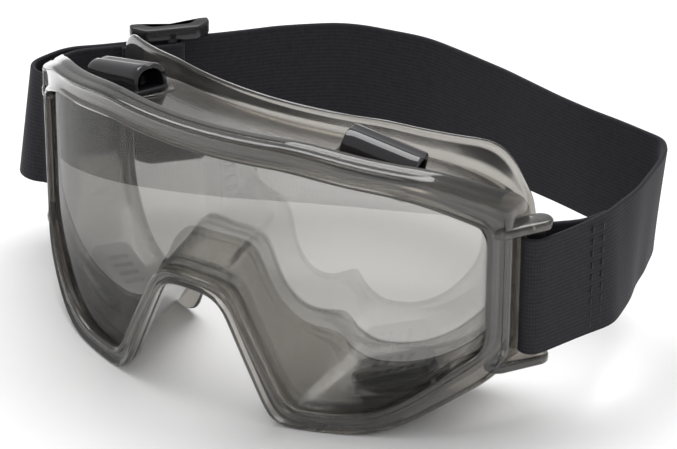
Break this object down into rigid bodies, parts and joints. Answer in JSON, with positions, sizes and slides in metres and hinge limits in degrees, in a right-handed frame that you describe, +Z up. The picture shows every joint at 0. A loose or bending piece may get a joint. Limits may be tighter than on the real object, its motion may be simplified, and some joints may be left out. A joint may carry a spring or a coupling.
{
  "type": "safety goggles",
  "caption": "Splash goggles: soft wrap-around mask with a curved snap-in lens, covered vents, and a wide elastic headband that tilts on side posts and adjusts at a slider.",
  "frame": {"origin": "on the surface the goggles stand on, under the middle of their width and depth", "axes": "+X to the wearer's left, the widest way; -Y out through the lens; +Z up"},
  "size_m": [0.2046, 0.1463, 0.0923],
  "materials": {
    "soft_vinyl": "glossy translucent smoke-grey soft vinyl",
    "lens": "clear polycarbonate with a faint grey cast",
    "black_plastic": "glossy black moulded plastic",
    "clip_plastic": "satin black moulded plastic",
    "elastic": "black ribbed woven elastic",
    "thread": "black polyester thread",
    "slider_plastic": "black moulded plastic, softly polished"
  },
  "bodies": {
    "mask": {"mask_body": "soft_vinyl", "lens": "lens", "vent_cap_top_left": "black_plastic", "vent_cap_top_right": "black_plastic", "vent_cap_bottom_left": "black_plastic", "vent_cap_bottom_right": "black_plastic", "vent_clip_top_left": "clip_plastic", "vent_clip_top_right": "clip_plastic", "vent_clip_bottom_left": "clip_plastic", "vent_clip_bottom_right": "clip_plastic"},
    "strap": {"headband": "elastic", "seam_left": "thread"},
    "adjuster": {"slider": "slider_plastic", "headband_end": "elastic", "seam_right": "thread"}
  },
  "joints": [
    {"name": "strap_tilt", "type": "hinge", "parent": "mask", "child": "strap", "pos_m": [0, -0.02109, 0.043], "axis": [1, 0, 0], "range_deg": [-4.5, 4.5]},
    {"name": "slider_slide", "type": "slide", "parent": "strap", "child": "adjuster", "axis": [-0.6649, -0.747, 0], "range_m": [-0.008, 0.006]}
  ]
}
